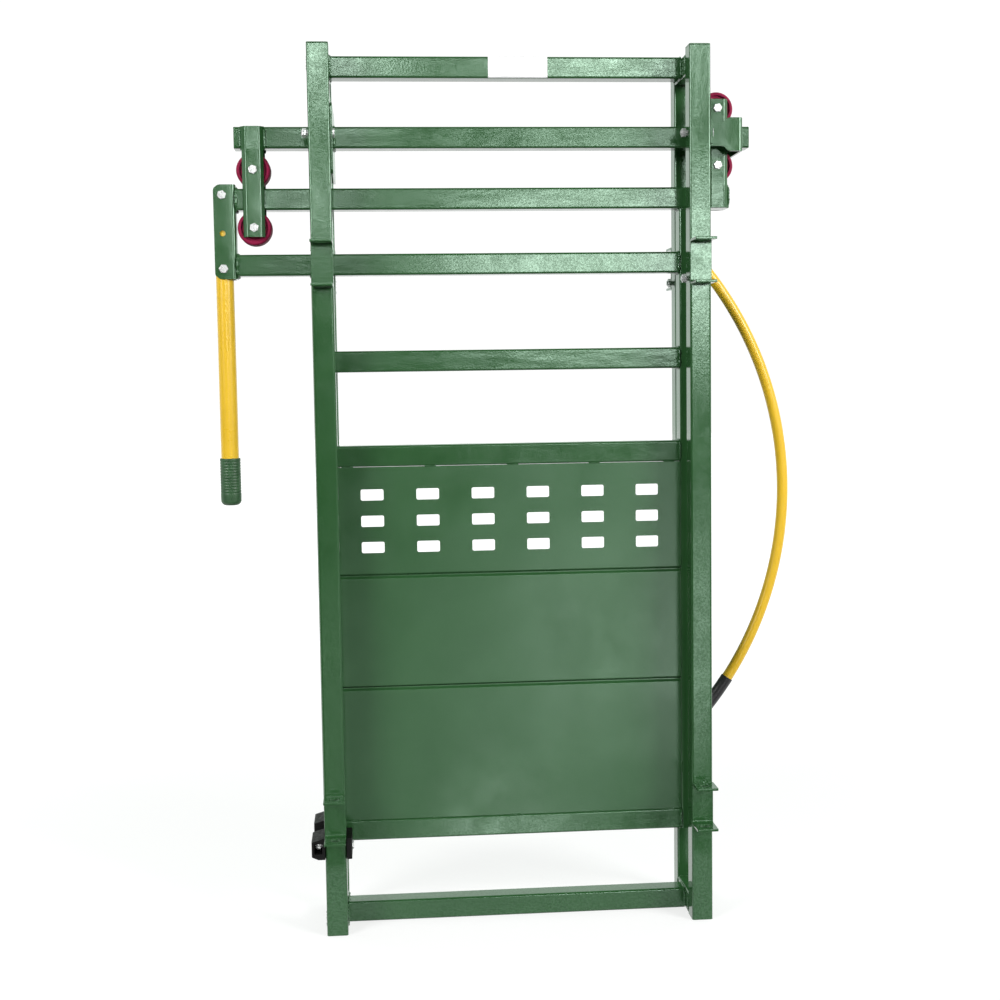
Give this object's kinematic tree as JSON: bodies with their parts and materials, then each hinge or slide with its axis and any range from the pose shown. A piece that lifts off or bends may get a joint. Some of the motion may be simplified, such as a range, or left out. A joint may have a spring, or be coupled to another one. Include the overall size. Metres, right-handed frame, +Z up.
{
  "type": "rolling alley gate",
  "caption": "Steel tube portal for a livestock alley with a panel gate that rolls sideways on rollers along an overhead beam, with a hanging handle and a bow handle.",
  "frame": {"origin": "middle of the bottom rail's underside, on the ground, midway between the front and rear posts", "axes": "+X to the right as seen from the front, +Y to the rear, +Z up; the gate opens towards -X"},
  "size_m": [1.3919, 0.3586, 2.108],
  "materials": {
    "green_paint": "gloss paint",
    "zinc": "bright zinc plating",
    "yellow_paint": "gloss paint",
    "red_tyre": "smooth moulded polyurethane",
    "black_block": "moulded",
    "black_rubber": "smooth",
    "green_rubber": "ribbed",
    "white_label": "blank printed-film stock"
  },
  "bodies": {
    "frame": {"beam_end_bracket": "green_paint", "beam_saddle_plate": "green_paint", "blank_label": "white_label", "bottom_rail": "green_paint", "bottom_spacer_left": "green_paint", "bottom_spacer_right": "green_paint", "end_bracket_bolt_front": "zinc", "end_bracket_bolt_rear": "zinc", "fixed_bracket_front": "green_paint", "fixed_bracket_rear": "green_paint", "fixed_lower_axle": "zinc", "fixed_upper_axle": "zinc", "front_left_post": "green_paint", "front_left_post_cap": "green_paint", "front_right_post": "green_paint", "front_right_post_cap": "green_paint", "guide_block_front": "black_block", "guide_block_rear": "black_block", "guide_bolt_front": "zinc", "guide_bolt_rear": "zinc", "rear_left_post": "green_paint", "rear_left_post_cap": "green_paint", "rear_right_post": "green_paint", "rear_right_post_cap": "green_paint", "right_post_bolt_front": "zinc", "right_post_bolt_rear": "zinc", "saddle_bolt_front": "zinc", "saddle_bolt_rear": "zinc", "top_rail": "green_paint", "top_spacer_left": "green_paint", "top_spacer_right": "green_paint", "track_beam": "green_paint"},
    "gate": {"bow_handle": "yellow_paint", "bow_sleeve": "black_rubber", "gate_bottom_rail": "green_paint", "gate_mid_rail": "green_paint", "gate_stile_left": "green_paint", "gate_stile_right": "green_paint", "gate_top_rail": "green_paint", "handle_bolt_lower": "zinc", "handle_bolt_upper": "zinc", "handle_channel": "green_paint", "handle_grip": "green_rubber", "handle_tube": "yellow_paint", "hanger_rail": "green_paint", "moving_bracket_front": "green_paint", "moving_bracket_rear": "green_paint", "moving_lower_axle": "zinc", "moving_upper_axle": "zinc", "panel_sheet": "green_paint", "panel_top_rail": "green_paint"},
    "roller_fixed_upper": {"fixed_upper_hub": "red_tyre", "fixed_upper_tyre": "red_tyre"},
    "roller_fixed_lower": {"fixed_lower_hub": "red_tyre", "fixed_lower_tyre": "red_tyre"},
    "roller_moving_upper": {"moving_upper_hub": "red_tyre", "moving_upper_tyre": "red_tyre"},
    "roller_moving_lower": {"moving_lower_hub": "red_tyre", "moving_lower_tyre": "red_tyre"}
  },
  "joints": [
    {"name": "gate_slide", "type": "slide", "parent": "frame", "child": "gate", "axis": [-1, 0, 0], "range_m": [0, 0.87]},
    {"name": "fixed_upper_spin", "type": "hinge", "parent": "frame", "child": "roller_fixed_upper", "pos_m": [-0.605, 0, 1.8298], "axis": [0, 1, 0], "continuous": true},
    {"name": "fixed_lower_spin", "type": "hinge", "parent": "frame", "child": "roller_fixed_lower", "pos_m": [-0.605, 0, 1.6946], "axis": [0, 1, 0], "continuous": true},
    {"name": "moving_upper_spin", "type": "hinge", "parent": "gate", "child": "roller_moving_upper", "pos_m": [0.505, 0, 1.9723], "axis": [0, 1, 0], "continuous": true},
    {"name": "moving_lower_spin", "type": "hinge", "parent": "gate", "child": "roller_moving_lower", "pos_m": [0.505, 0, 1.8371], "axis": [0, 1, 0], "continuous": true}
  ],
  "couplings": [
    {"joint": "fixed_lower_spin", "follows": "gate_slide", "rad_per_m": -24.213},
    {"joint": "moving_upper_spin", "follows": "gate_slide", "rad_per_m": -24.213}
  ]
}
